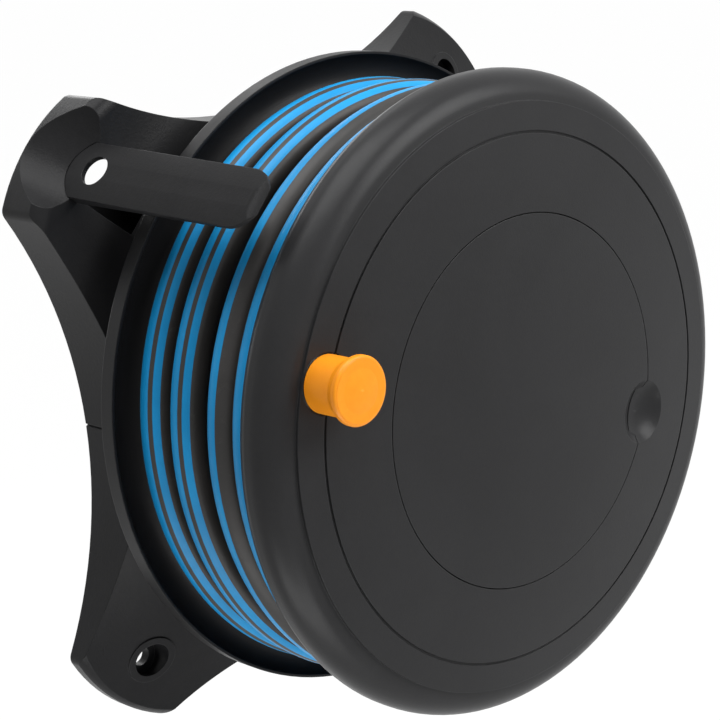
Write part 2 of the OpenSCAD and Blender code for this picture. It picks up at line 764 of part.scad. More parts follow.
// The three contact openings of one socket
module socket_slots(depth) {
    for (s = [-1, 1]) translate([s * 6.35 - 1.1, 1.5, -depth]) cube([2.2, s < 0 ? 8.2 : 7, depth + 5]);
    translate([0, -6, -depth]) cylinder(r = 2.7, h = depth + 5);
}

module socket_panel() {
    color([0.3, 0.3, 0.31]) mounted() difference() {
        union() {
            disc(panel_d / 2, panel_top - panel_t, panel_top);
            ring_of(4, socket_pitch_r, socket_first) translate([0, 0, panel_top - panel_t])
                cylinder(r = socket_face_d / 2 - 3, h = panel_t + 2);
            ring_of(4, socket_pitch_r, socket_first) translate([0, 0, panel_top - 14])
                cylinder(r = socket_face_d / 2 - 2, h = 12);
            ring_of(4, socket_pitch_r, socket_first) tube(socket_face_d / 2, socket_face_d / 2 - 1.6, panel_top - 1, panel_top + 3);
        }
        ring_of(4, socket_pitch_r, socket_first) rotate([0, 0, -90]) translate([0, 0, panel_top + 2]) socket_slots(14);
        at_button() translate([0, 0, panel_top - panel_t - 1]) cylinder(r = button_d / 2 + 0.3, h = 20);
        ring_of(4, panel_d / 2 - 5, 20) translate([0, 0, panel_top - panel_t - 1]) cylinder(r = 1.8, h = 20);
        disc(9, panel_top - panel_t - 1, panel_top - 1.2);
    }
}

module panel_screws() {
    color([0.6, 0.6, 0.62]) mounted() ring_of(4, panel_d / 2 - 5, 20)
        translate([0, 0, panel_top]) screw(1.4, 7.8, 3.2, 2);
}

// Three brass rails behind the sockets: live, neutral and earth
module socket_contacts() {
    rail_z = panel_top - 17.2;
    color([0.78, 0.62, 0.3]) mounted()
        for (r = [socket_pitch_r - 8, socket_pitch_r, socket_pitch_r + 8])
            tube(r + 1.6, r - 1.6, rail_z, rail_z + 3);
}

cutout_z0 = panel_top - 22;

module cutout_body() {
    color([0.08, 0.08, 0.08]) mounted() at_button() difference() {
        translate([-7, -9, cutout_z0]) cube([14, 18, panel_top - panel_t - cutout_z0 - seat_gap]);
        translate([0, 0, panel_top - panel_t - 9]) cylinder(r = button_d / 2 + 1.5, h = 20);
    }
}

module reset_button() {
    color([0.75, 0.1, 0.08]) mounted() at_button() {
        translate([0, 0, panel_top - panel_t - button_travel - 0.9]) cylinder(r = button_d / 2 + 0.8, h = 0.9 + button_travel - touch_gap);
        translate([0, 0, panel_top - panel_t - 1]) cylinder(r = button_d / 2, h = panel_t + 4);
    }
}

module button_spring() {
    spring_z = panel_top - panel_t - 9 + 0.1;
    spring_h = 9 - button_travel - 0.9 - 0.2;
    color([0.7, 0.7, 0.72]) mounted() at_button()
        for (i = [0:3]) translate([0, 0, spring_z + i * (spring_h - 0.8) / 3])
            rotate_extrude() translate([2.6, 0.4]) circle(r = 0.4, $fn = 24);
}

// ---------------------------------------------------------------- cord

tail_end_r = 53;

module cord_tail() {
    color([0.12, 0.12, 0.12]) mounted() rotate([0, 0, cord_hole_angle])
        translate([tail_end_r, 0, cord_hole_z]) rotate([0, 90, 0]) cylinder(r = cord_r, h = barrel_r - tail_end_r);
}

clamp_r0 = 62;
clamp_h = cord_d + 5.5;
clamp_screw_y = 13;

module cord_clamp() {
    color([0.3, 0.3, 0.31]) mounted() rotate([0, 0, cord_hole_angle]) difference() {
        translate([clamp_r0, -18, winding_z0 + barrel_floor_t]) cube([12, 36, clamp_h]);
        translate([0, 0, cord_hole_z]) rotate([0, 90, 0]) cylinder(r = cord_r + seat_gap, h = far);
        for (s = [-1, 1]) translate([clamp_r0 + 6, s * clamp_screw_y, 0]) cylinder(r = 1.7, h = far);
    }
}

module cord_clamp_screws() {
    clamp_top = winding_z0 + barrel_floor_t + clamp_h;
    color([0.6, 0.6, 0.62]) mounted() rotate([0, 0, cord_hole_angle])
        for (s = [-1, 1]) translate([clamp_r0 + 6, s * clamp_screw_y, clamp_top])
            screw(1.6, clamp_h - 0.1, 3.4, 2);
}

// Three insulated leads that run from the cord's end and rise to the contact rails
module lead_wires() {
    rail_z = panel_top - 17.2;
    color([0.5, 0.3, 0.15]) mounted() rotate([0, 0, cord_hole_angle])
        for (i = [-1:1]) translate([socket_pitch_r + 8 * i, 4.2 * i, cord_hole_z]) {
            rotate([0, 90, 0]) cylinder(r = 1.6, h = tail_end_r - socket_pitch_r - 8 * i - 0.05);
            sphere(r = 1.6);
            cylinder(r = 1.6, h = rail_z - cord_hole_z - 0.05);
        }
}

module cord_core() {
    color([0.1, 0.1, 0.1]) mounted() difference() {
        union() {
            disc(core_r, winding_z0 + 0.2, winding_z1 - 0.2);
            // rise that the outer layer starts from
            rotate([0, 0, start_angle]) intersection() {
                rotate([0, 0, 47]) translate([30, 0, winding_z0 + turn_station[0] - cord_r])
                    cylinder(r = core_r, h = cord_d);
                translate([0, -cord_d - far, 0]) cube([far, far, far]);
            }
        }
        disc(barrel_r + 0.2, 0, far);
    }
}

// Outer layer. Stations are distances from the rear web to the middle of the cord: where
// each turn lies on the side with the guide arm, and where it passes the plug.
turn_station = [8.4, 28.4, 51.8, 67.3];
passing_station = [8.4, 23.9, 39.4, 61];
turn_count = len(turn_station);
start_angle = 80;
plug_angle = 285;
plug_tilt = 2;
rings_per_turn = 24;
tube_sides = 6;

function ease(t) = (1 - cos(180 * max(0, min(1, t)))) / 2;
function mix(a, b, t) = a + (b - a) * ease(t);

// Station of the cord at a running angle
function station(angle) =
    let (k = max(0, min(turn_count - 1, floor((angle - 76) / 360))), a = angle - 360 * k)
    a < 262 ? turn_station[k]
    : a < plug_angle ? mix(turn_station[k], passing_station[k], (a - 262) / (plug_angle - 262))
    : a < 320 || k == turn_count - 1 ? passing_station[k]
    : mix(passing_station[k], turn_station[k + 1], (a - 320) / (436 - 320));

function wound_point(angle) =
    [cord_layer_r * cos(angle), cord_layer_r * sin(angle), winding_z0 + station(angle)];

last_angle = 360 * (turn_count - 1) + plug_angle;
ring_step = 360 / rings_per_turn;
plug_entry = wound_point(last_angle);
plug_dir = [-sin(plug_angle - plug_tilt), cos(plug_angle - plug_tilt), 0];

start_dir = [-sin(start_angle), cos(start_angle), 0];
wound_path = concat(
    [wound_point(start_angle) - start_dir * cord_d],
    [for (a = [start_angle:ring_step:last_angle - ring_step / 2]) wound_point(a)],
    [plug_entry, plug_entry + plug_dir * cord_d]);

function unit(v) = v / norm(v);

// Six-sided tube along a path, with a flat towards the axis
module path_tube(path, r, sides) {
    n = len(path);
    ring = [for (i = [0:n - 1])
        let (d = unit(path[min(n - 1, i + 1)] - path[max(0, i - 1)]),
             out = unit([path[i][0], path[i][1], 0]),
             side = unit(cross(d, out)), up = cross(side, d))
        for (j = [0:sides - 1]) path[i] + r * (cos(360 * j / sides) * side + sin(360 * j / sides) * up)];
    wall = [for (i = [0:n - 2], j = [0:sides - 1])
        let (k = (j + 1) % sides, a = i * sides + j, b = i * sides + k)
        each [[a, b, b + sides], [a, b + sides, a + sides]]];
    first = [for (j = [1:sides - 2]) [0, j + 1, j]];
    last = [for (j = [1:sides - 2]) [(n - 1) * sides, (n - 1) * sides + j, (n - 1) * sides + j + 1]];
    polyhedron(points = ring, faces = concat(wall, first, last));
}

// Least distance between turns that lie next to each other, measured on the path's points
half_turn = rings_per_turn / 2;
turn_gaps = [for (i = [0:len(wound_path) - 1 - half_turn], j = [i + half_turn:len(wound_path) - 1])
    norm(wound_path[i] - wound_path[j])];
echo(least_gap_of_winding = min(turn_gaps) - cord_d);

module cord_winding() {
    color([0.1, 0.35, 0.5]) mounted() path_tube(wound_path, cord_r, tube_sides);
}

relief_l = 20;
plug_l = 32;
plug_w = 25;
plug_h = 21;
pin_l = 15;

// Places a piece drawn along +x on the line that the cord leaves on
module at_plug() {
    translate(plug_entry + plug_dir * cord_d) rotate([0, 0, plug_angle - plug_tilt + 90]) children();
}

module plug_relief() {
    color([0.12, 0.12, 0.12]) mounted() at_plug() rotate([0, 90, 0]) cylinder(r1 = cord_r + 0.6, r2 = 9.6, h = relief_l);
}

module plug_body() {
    color([0.12, 0.12, 0.12]) mounted() at_plug() hull() {
        translate([relief_l, 0, 0]) rotate([0, 90, 0]) cylinder(r = 10, h = 1, $fn = 32);
        for (y = [-1, 1], z = [-1, 1])
            translate([relief_l + 12, y * (plug_h / 2 - 5), z * (plug_w / 2 - 5)]) rotate([0, 90, 0])
                cylinder(r = 5, h = plug_l - 12, $fn = 32);
    }
}

module plug_pins() {
    color([0.78, 0.7, 0.45]) mounted() at_plug() translate([relief_l + plug_l, 0, 0]) {
        for (s = [-1, 1]) translate([0, -6, s * 6.35 - 0.76]) cube([pin_l, 6.35, 1.52]);
        translate([0, 5.6, 0]) rotate([0, 90, 0]) cylinder(r = 2.4, h = pin_l + 1);
    }
}

// ---------------------------------------------------------------- knob

knob_base = knob_seat_z + touch_gap;
knob_top = knob_base + knob_h;
cap_t = 3.2;
screw_head_h = 3;
sleeve_top = knob_top - cap_t;

module knob_screw() {
    color([0.6, 0.6, 0.62]) mounted() at_knob() {
        disc(2.55, winding_z1 + 8, knob_seat_z + eps);
        disc(knob_screw_d / 2, knob_seat_z, sleeve_top - 5);
        disc(knob_screw_d / 2 + 2, sleeve_top - 5 + touch_gap, sleeve_top - 5 + touch_gap + screw_head_h);
        disc(knob_screw_d / 2 - 1, sleeve_top - 5.5, sleeve_top - 4.5);
    }
}

module knob_sleeve() {
    color([1, 0.52, 0.06]) mounted() at_knob() difference() {
        union() {
            disc(knob_d / 2, knob_base, sleeve_top);
            translate([0, 0, sleeve_top - 4]) cylinder(r1 = knob_d / 2, r2 = knob_cap_d / 2 - 0.8, h = 4);
        }
        disc(knob_screw_d / 2 + 0.06, 0, far);
        disc(knob_screw_d / 2 + 2.6, sleeve_top - 5, far);
    }
}

module knob_cap() {
    color([1, 0.56, 0.1]) mounted() at_knob() {
        rotate_extrude() intersection() {
            union() {
                translate([0, sleeve_top]) square([knob_cap_d / 2 - 1.2, cap_t - 0.7]);
                translate([knob_cap_d / 2 - 1.2, sleeve_top + 1.2]) circle(r = 1.2, $fn = 32);
                translate([0, sleeve_top + 1.2 - 0.01]) square([knob_cap_d / 2 - 0.4, 0.8]);
                translate([0, knob_top - 60]) circle(r = 60, $fn = 360);
            }
            translate([0, sleeve_top]) square([knob_cap_d / 2, cap_t]);
        }
        tube(knob_screw_d / 2 + 2.6, knob_screw_d / 2 + 2.2, sleeve_top - 1, sleeve_top + eps);
    }
}

wall_bracket();
guide_arm();
guide_arm_screws();
spindle();
spindle_screws();
thrust_washer();
rear_bush();
front_bush();
retaining_washer();
retaining_screw();
rear_flange();
rear_flange_screws();
drum_barrel();
front_disc();
front_disc_screws();
front_cover();
lid();
lid_catches();
socket_panel();
panel_screws();
socket_contacts();
cutout_body();
reset_button();
button_spring();
cord_clamp();
cord_clamp_screws();
cord_tail();
lead_wires();
cord_core();
cord_winding();
plug_relief();
plug_body();
plug_pins();
knob_screw();
knob_sleeve();
knob_cap();
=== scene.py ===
import math

import bmesh
import bpy
from mathutils import Matrix, Vector


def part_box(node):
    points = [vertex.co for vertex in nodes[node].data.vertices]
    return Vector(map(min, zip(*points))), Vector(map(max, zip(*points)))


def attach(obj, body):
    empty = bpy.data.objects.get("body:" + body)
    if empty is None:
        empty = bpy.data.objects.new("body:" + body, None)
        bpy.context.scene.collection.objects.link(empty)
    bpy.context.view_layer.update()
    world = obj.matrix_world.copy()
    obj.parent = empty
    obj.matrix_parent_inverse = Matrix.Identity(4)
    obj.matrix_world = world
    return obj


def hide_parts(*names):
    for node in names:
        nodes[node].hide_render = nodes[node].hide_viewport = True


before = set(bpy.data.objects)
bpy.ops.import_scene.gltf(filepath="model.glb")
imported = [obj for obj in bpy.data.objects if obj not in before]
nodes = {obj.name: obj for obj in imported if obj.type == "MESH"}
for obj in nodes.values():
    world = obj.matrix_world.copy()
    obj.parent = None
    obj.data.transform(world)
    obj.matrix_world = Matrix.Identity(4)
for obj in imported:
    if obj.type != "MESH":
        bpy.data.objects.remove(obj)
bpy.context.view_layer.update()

# ---------------------------------------------------------------- camera
# A long lens, a metre from the reel, above it and to its left. It leans a little, so that
# the reel stands slightly turned.

AZIMUTH, ELEVATION, ROLL = (math.radians(a) for a in (-42.54, 16.78, -6.21))
FACE_CENTRE = Vector((0, -0.15265, 0))
EYE_RIGHT, EYE_UP, EYE_BACK = -0.06897, 0.01744, 0.98497

back = Vector((math.sin(AZIMUTH) * math.cos(ELEVATION),
               -math.cos(AZIMUTH) * math.cos(ELEVATION), math.sin(ELEVATION)))
level = Vector((math.cos(AZIMUTH), math.sin(AZIMUTH), 0))
rise = back.cross(level)
right = level * math.cos(ROLL) + rise * math.sin(ROLL)
up = rise * math.cos(ROLL) - level * math.sin(ROLL)
eye = FACE_CENTRE + right * EYE_RIGHT + up * EYE_UP + back * EYE_BACK

camera_data = bpy.data.cameras.new("camera")
camera_data.lens, camera_data.sensor_width = 115, 36
camera_data.clip_start, camera_data.clip_end = 0.01, 50
camera = bpy.data.objects.new("camera", camera_data)
bpy.context.scene.collection.objects.link(camera)
camera.matrix_world = Matrix((right, up, back)).transposed().to_4x4()
camera.matrix_world.translation = eye
bpy.context.scene.camera = camera

# ---------------------------------------------------------------- cord
# 8.8 m of heavy three-core cable, 15 mm across, in a rubber jacket with printed blue stripes.
# It comes out of the barrel, lies in two layers round it, and its outer layer of three and
# a half turns ends in the plug. Its route there is the source's, in metres.

CORD_R = 0.0075
LAYER_R = 0.126
WEB = 0.0536                                        # the rear flange's face, from the wall
TURN_STATION = [0.0084, 0.0284, 0.0518, 0.0673]     # from the web, beside the guide arm
PASSING_STATION = [0.0084, 0.0239, 0.0394, 0.061]   # and where a turn passes the plug
START_ANGLE, PLUG_ANGLE, PLUG_TILT = 80, 285, 2
LAST_TURN = 3                                       # counted from 0
LAST_ANGLE = 360 * LAST_TURN + PLUG_ANGLE
TURN_BEGINS, LEAVES, RETURNS = 76, 262, 320         # the way past the plug, in each turn
COLLAR, COLLAR_STEPS = 0.015, 4                     # the cord's straight end in the plug
CORD_SIDES = 40

# The layers below are pressed a little thinner by those over them.
BARREL_R = 0.090
LOWER_R = 0.00675
LAYER_GAP = 0.00015
LOW_LAYER = BARREL_R + LOWER_R + LAYER_GAP
MID_LAYER = LOW_LAYER + 2 * LOWER_R + LAYER_GAP
REAR_END, FRONT_END = 0.0074, 0.0680
CLIMB_START, MID_START, LOW_END, LOW_START = 10, -1574, -1624, -3210    # angles
LOWER_STEP, TOP_STEP, TOP_FROM = 5, 2.5, -20        # degrees between the points of the path

# Twists of the jacket, in turns, and the angles over which they come and go.
GREY_OUT, HALF_OVER, SECOND_BACK = 0.27, 0.5, 0.011
SECOND_FROM, SECOND_LONG = 310, 110
THIRD_FROM, THIRD_TO, THIRD_LONG = 673, 1033, 105
SWAYS = ((0.003, 0.7), (0.002, 2.3))                # turns, and waves per turn of the drum


def ease(t):
    return (1 - math.cos(math.pi * max(0.0, min(1.0, t)))) / 2


def mix(a, b, t):
    return a + (b - a) * ease(t)


def station(angle):
    """How far from the web the cord's middle lies at an angle of the outer layer."""
    k = max(0, min(LAST_TURN, math.floor((angle - TURN_BEGINS) / 360)))
    a = angle - 360 * k
    if a < LEAVES:
        return TURN_STATION[k]
    if a < PLUG_ANGLE:
        return mix(TURN_STATION[k], PASSING_STATION[k], (a - LEAVES) / (PLUG_ANGLE - LEAVES))
    if a < RETURNS or k == LAST_TURN:
        return PASSING_STATION[k]
    return mix(PASSING_STATION[k], TURN_STATION[k + 1],
               (a - RETURNS) / (TURN_BEGINS + 360 - RETURNS))


def twist(angle):
    """Turns by which the jacket is turned round: the third turn of the outer layer lies half
    over, so that its single stripe shows."""
    turned_over = ease((angle - THIRD_FROM) / THIRD_LONG)
    second = ease((angle - SECOND_FROM) / SECOND_LONG) * (1 - turned_over)
    third = turned_over * (1 - ease((angle - THIRD_TO) / THIRD_LONG))
    sway = sum(turns * math.sin(math.radians(angle) * waves) for turns, waves in SWAYS)
    return HALF_OVER * third - SECOND_BACK * second + sway


def lie(angle):
    """Radius from the axis, station, half thickness and twist of the cord at an angle."""
    if angle < LOW_END:
        t = (angle - LOW_START) / (LOW_END - LOW_START)
        return LOW_LAYER, REAR_END + (FRONT_END - REAR_END) * t, LOWER_R, GREY_OUT
    if angle < MID_START:
        t = (angle - LOW_END) / (MID_START - LOW_END)
        return mix(LOW_LAYER, MID_LAYER, t), FRONT_END, LOWER_R, GREY_OUT
    if angle < CLIMB_START:
        t = (angle - MID_START) / (CLIMB_START - MID_START)
        return MID_LAYER, FRONT_END + (REAR_END - FRONT_END) * t, LOWER_R, GREY_OUT
    if angle < START_ANGLE:
        t = (angle - CLIMB_START) / (START_ANGLE - CLIMB_START)
        return (mix(MID_LAYER, LAYER_R, t), mix(REAR_END, station(START_ANGLE), t),
                mix(LOWER_R, CORD_R, t), mix(GREY_OUT, twist(START_ANGLE), t))
    return LAYER_R, station(angle), CORD_R, twist(angle)


def on_drum(radius, angle, depth):
    a = math.radians(angle)
    return Vector((radius * math.cos(a), -depth, radius * math.sin(a)))


def tube(name, path, radius, sides, turned=None, first=None):
    """A smooth closed tube along a path, with a radius at each point. Its UV map "cord" holds
    metres along it, and turns round it from the outward side, a quarter facing the wall. A
    tube that doesn't lie on the drum is given the direction of its first corner."""
    count = len(path)
    turned = turned or [0.0] * count
    run, points, ring = [0.0], [], None
    for p, q in zip(path, path[1:]):
        run.append(run[-1] + (q - p).length)
    for i, p in enumerate(path):
        along = (path[min(count - 1, i + 1)] - path[max(0, i - 1)]).normalized()
        ring = Vector((p.x, 0, p.z)) if first is None else (ring or first)
        ring = (ring - along * ring.dot(along)).normalized()
        side = along.cross(ring)
        if first is None and side.y < 0:
            side = -side
        for j in range(sides):
            a = 2 * math.pi * j / sides
            points.append(p + (ring * math.cos(a) + side * math.sin(a)) * radius[i])
    quads = [(i, j) for i in range(count - 1) for j in range(sides)]
    faces = [(i * sides + j, i * sides + (j + 1) % sides, (i + 1) * sides + (j + 1) % sides,
              (i + 1) * sides + j) for i, j in quads]
    faces += [tuple(range(sides)), tuple(range((count - 1) * sides, count * sides))]
    mesh = bpy.data.meshes.new(name)
    mesh.from_pydata(points, [], faces)
    uv = mesh.uv_layers.new(name="cord")
    for face, (i, j) in enumerate(quads):
        corners = ((i, j), (i, j + 1), (i + 1, j + 1), (i + 1, j))
        for corner, (row, step) in enumerate(corners):
            uv.data[4 * face + corner].uv = (run[row], step / sides + turned[row])
    bm = bmesh.new()
    bm.from_mesh(mesh)
    bmesh.ops.recalc_face_normals(bm, faces=bm.faces)
    bm.to_mesh(mesh)
    bm.free()
    mesh.shade_smooth()
    obj = bpy.data.objects.new(name, mesh)
    bpy.context.scene.collection.objects.link(obj)
    return obj, run[-1]


plug_entry = on_drum(LAYER_R, LAST_ANGLE, WEB + station(LAST_ANGLE))
plug_way = on_drum(1, PLUG_ANGLE - PLUG_TILT + 90, 0)
stops = [LOW_START + LOWER_STEP * k for k in range((TOP_FROM - LOW_START) // LOWER_STEP)]
stops += [TOP_STEP * k + TOP_FROM for k in range(int((LAST_ANGLE - TOP_FROM) / TOP_STEP) + 1)]
lies = [lie(a) for a in stops]
route = [on_drum(r, a, WEB + z) for a, (r, z, _, _) in zip(stops, lies)]
route += [plug_entry + plug_way * COLLAR * k / COLLAR_STEPS
          for k in range(1, COLLAR_STEPS + 1)]
lies += [lies[-1]] * COLLAR_STEPS
cord, cord_length = tube("cord", route, [q[2] for q in lies], CORD_SIDES,
                         [q[3] for q in lies])
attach(cord, "drum")
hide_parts("cord_winding", "cord_core")


def linear(r, g, b):
    """A colour written from 0 to 255, as the linear values that a shader takes."""
    return tuple(((c / 255 + 0.055) / 1.055) ** 2.4 if c > 10 else c / 255 / 12.92
                 for c in (r, g, b)) + (1.0,)


def add(tree, kind, **settings):
    """A new node; a setting named in_x is the value of its input x."""
    node = tree.nodes.new(kind)
    for key, value in settings.items():
        if key.startswith("in_"):
            node.inputs[key[3:].replace("_", " ")].default_value = value
        else:
            setattr(node, key, value)
    return node


def sums(tree, operation, *values):
    """The output of a Math node, whose inputs are numbers or other outputs."""
    node = add(tree, "ShaderNodeMath", operation=operation)
    for socket, value in zip(node.inputs, values):
        if isinstance(value, (int, float)):
            socket.default_value = value
        else:
            tree.links.new(value, socket)
    return node.outputs[0]


def smooth_step(tree, value, low, high, to_low=0.0, to_high=1.0):
    node = add(tree, "ShaderNodeMapRange", interpolation_type="SMOOTHSTEP", in_From_Min=low,
               in_From_Max=high, in_To_Min=to_low, in_To_Max=to_high)
    tree.links.new(value, node.inputs["Value"])
    return node.outputs["Result"]


def blend_colours(tree, factor, first, second):
    node = add(tree, "ShaderNodeMix", data_type="RGBA")
    tree.links.new(factor, node.inputs["Factor"])
    for socket, value in ((node.inputs[6], first), (node.inputs[7], second)):
        if isinstance(value, tuple):
            socket.default_value = value
        else:
            tree.links.new(value, socket)
    return node.outputs[2]


def noise_at(tree, coords, **settings):
    node = add(tree, "ShaderNodeTexNoise", **settings)
    tree.links.new(coords, node.inputs["Vector"])
    return node.outputs["Fac"]


def new_group(name, inputs, outputs):
    """An empty node group with named sockets, and its Object coordinates."""
    group = bpy.data.node_groups.new(name, "ShaderNodeTree")
    for label, value in inputs:
        socket = group.interface.new_socket(label, in_out="INPUT", socket_type="NodeSocketFloat")
        socket.default_value = value
    for label in outputs:
        kind = "NodeSocketVector" if label == "Normal" else "NodeSocketFloat"
        group.interface.new_socket(label, in_out="OUTPUT", socket_type=kind)
    coords = group.nodes.new("ShaderNodeTexCoord").outputs["Object"]
    return group, group.nodes.new("NodeGroupInput"), group.nodes.new("NodeGroupOutput"), coords


# Rubber: a patchy jacket, dust and scuffs that dull it, and a fine drawn skin.
rubber_skin, ask, give, coords = new_group(
    "rubber_skin", [("Skin depth", 0.00002)], ["Tone", "Dust", "Roughness", "Normal"])
tree = rubber_skin
patches = noise_at(tree, coords, in_Scale=30.0, in_Detail=5.0, in_Roughness=0.6)
tree.links.new(smooth_step(tree, patches, 0.35, 0.7), give.inputs["Tone"])
scuffs = noise_at(tree, coords, in_Scale=170.0, in_Detail=6.0, in_Roughness=0.75,
                  in_Distortion=0.6)
tree.links.new(smooth_step(tree, scuffs, 0.55, 0.8, 0.0, 0.1), give.inputs["Dust"])
tree.links.new(sums(tree, "MULTIPLY_ADD", scuffs, 0.22, 0.31), give.inputs["Roughness"])
skin = add(tree, "ShaderNodeBump", in_Strength=1.0)
tree.links.new(noise_at(tree, coords, in_Scale=1300.0, in_Detail=3.0), skin.inputs["Height"])
tree.links.new(ask.outputs["Skin depth"], skin.inputs["Distance"])
tree.links.new(skin.outputs[0], give.inputs["Normal"])


def new_material(name, group=None, **values):
    material = bpy.data.materials.new(name)
    material.use_nodes = True
    tree = material.node_tree
    surface = None
    if group:
        surface = add(tree, "ShaderNodeGroup", node_tree=group)
        for label, value in values.items():
            surface.inputs[label.replace("_", " ")].default_value = value
    return material, tree, tree.nodes["Principled BSDF"], surface


def rubber(name, dark, light, skin_depth, stripes=()):
    """Rubber with dust in its scuffs; stripes are rows of middle and half width, in turns
    round the cord."""
    material, tree, shader, surface = new_material(name, rubber_skin, Skin_depth=skin_depth)
    colour = blend_colours(tree, surface.outputs["Tone"], dark, light)
    if stripes:
        uv = add(tree, "ShaderNodeUVMap", uv_map="cord")
        split = tree.nodes.new("ShaderNodeSeparateXYZ")
        tree.links.new(uv.outputs[0], split.inputs[0])
        waver = add(tree, "ShaderNodeTexNoise", noise_dimensions="1D", in_Scale=22.0)
        tree.links.new(split.outputs["X"], waver.inputs["W"])
        ink = blend_colours(tree, surface.outputs["Tone"], *STRIPE_INK)
        printed = None
        for middle, half in stripes:
            # The stripe's middle comes to half a turn, clear of where the turns start anew.
            moved = sums(tree, "ADD", split.outputs["Y"], 2.5 - STRIPE_WAVER / 2 - middle)
            moved = sums(tree, "MULTIPLY_ADD", waver.outputs["Fac"], STRIPE_WAVER, moved)
            away = sums(tree, "SUBTRACT", sums(tree, "FRACT", moved), 0.5)
            mask = smooth_step(tree, sums(tree, "ABSOLUTE", away), half - STRIPE_BLUR,
                               half + STRIPE_BLUR, 1.0, 0.0)
            printed = mask if printed is None else sums(tree, "MAXIMUM", printed, mask)
        colour = blend_colours(tree, printed, colour, ink)
    tree.links.new(blend_colours(tree, surface.outputs["Dust"], colour, RUBBER_DUST),
                   shader.inputs["Base Color"])
    tree.links.new(surface.outputs["Roughness"], shader.inputs["Roughness"])
    tree.links.new(surface.outputs["Normal"], shader.inputs["Normal"])
    shader.inputs["Specular IOR Level"].default_value = 0.25
    return material


def dress(material, *pieces):
    for piece in pieces:
        piece.data.materials.clear()
        piece.data.materials.append(material)


RUBBER_DUST = linear(140, 138, 134)
STRIPE_INK = (linear(18, 138, 198), linear(26, 150, 212))
STRIPES = ((0.0225, 0.0625), (-0.122, 0.036), (0.5225, 0.0625))     # middle, half width
STRIPE_WAVER, STRIPE_BLUR = 0.005, 0.0025
dress(rubber("cord_jacket", linear(50, 49, 48), linear(60, 58, 57), 0.00002, STRIPES), cord,
      nodes["cord_winding"], nodes["cord_core"])

# ---------------------------------------------------------------- plug
# The cord's end: a rubber strain relief with six grooves, and a moulded rubber body with
# ridges for the fingers, cast round three brass pins. It lies on the outer layer.

RELIEF_LENGTH, PLUG_LENGTH = 0.020, 0.052
RELIEF_BACK_R, RELIEF_FRONT_R = 0.0081, 0.0096
GROOVES, GROOVE_DEPTH = 6, 0.0007
GROOVES_FROM, GROOVES_LONG = 0.002, 0.0165
RELIEF_DISC = 0.0004                                # the thin disc that it is drawn out from
RELIEF_SIDES, RELIEF_ROWS = 48, 60
NECK = 0.0098                                       # half across, where the body starts
GRIP_HIGH, GRIP_WIDE = 0.0104, 0.0124               # half across the grip
GRIP_FROM, GRIP_TO = 0.0315, 0.0335                 # the block that it is drawn out from
GRIP_ROUNDING, ROUNDING_STEPS = 0.0092, 14
RIDGES, RIDGE_DEPTH, RIDGES_LONG = 5, 0.0007, 0.0142
RIDGE_ROWS, RIDGE_ABOVE = 50, 0.4                   # the ridges' share over the flat sides
NECK_ROWS = 16
END_ROUNDING, END_ROWS = 0.0008, 6
SHARP_FROM = 50                                     # edges bent more stay sharp, in degrees


def edit_new(name):
    """Names the new primitive and opens it for editing, ready for its faces to be picked."""
    obj = bpy.context.object
    obj.name = obj.data.name = name
    bpy.ops.object.mode_set(mode="EDIT")
    bpy.ops.mesh.select_mode(type="FACE")
    return obj


def pick_faces(obj, wanted):
    bpy.ops.mesh.select_all(action="DESELECT")
    bm = bmesh.from_edit_mesh(obj.data)
    bm.normal_update()
    for face in bm.faces:
        if wanted(face):
            face.select_set(True)
    bmesh.update_edit_mesh(obj.data)


def draw_out(rows):
    """Extrudes the picked end face through rows of height, half depth and half width."""
    for (z0, a0, b0), (z1, a1, b1) in zip(rows, rows[1:]):
        bpy.ops.mesh.extrude_region_move(TRANSFORM_OT_translate={"value": (0, 0, z1 - z0)})
        bpy.ops.transform.resize(value=(a1 / a0, b1 / b0, 1), center_override=(0, 0, z1))


def set_on_cord(obj):
    """Closes the edit, turns the piece from its own upright place onto the cord's end, and
    puts that place into its mesh."""
    bpy.ops.mesh.select_all(action="SELECT")
    bpy.ops.mesh.normals_make_consistent(inside=False)
    bpy.ops.object.mode_set(mode="OBJECT")
    bpy.ops.object.shade_smooth_by_angle(angle=math.radians(SHARP_FROM))
    inward = -Vector((plug_entry.x, 0, plug_entry.z))
    inward = (inward - plug_way * inward.dot(plug_way)).normalized()
    turned = Matrix((inward, plug_way.cross(inward), plug_way)).transposed().to_4x4()
    obj.matrix_world = Matrix.Translation(plug_entry + plug_way * COLLAR) @ turned
    bpy.ops.object.transform_apply(location=True, rotation=True, scale=True)


bpy.ops.object.select_all(action="DESELECT")
bpy.ops.mesh.primitive_cylinder_add(vertices=RELIEF_SIDES, radius=RELIEF_BACK_R,
                                    depth=RELIEF_DISC, location=(0, 0, RELIEF_DISC / 2))
relief = edit_new("plug_strain_relief")
bpy.ops.object.mode_set(mode="OBJECT")
bpy.ops.object.transform_apply(location=True)
bpy.ops.object.mode_set(mode="EDIT")
pick_faces(relief, lambda face: face.normal.z > 0.9)
rows = [(RELIEF_DISC, RELIEF_BACK_R, RELIEF_BACK_R)]
for k in range(1, RELIEF_ROWS + 1):
    x = RELIEF_DISC + (RELIEF_LENGTH - RELIEF_DISC) * k / RELIEF_ROWS
    t = min(1, max(0, (x - GROOVES_FROM) / GROOVES_LONG))
    groove = GROOVE_DEPTH * (0.5 - 0.5 * math.cos(2 * math.pi * GROOVES * t))
    r = mix(RELIEF_BACK_R, RELIEF_FRONT_R, k / RELIEF_ROWS) - groove
    rows.append((x, r, r))
draw_out(rows)
set_on_cord(relief)
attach(relief, "drum")
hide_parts("plug_relief")

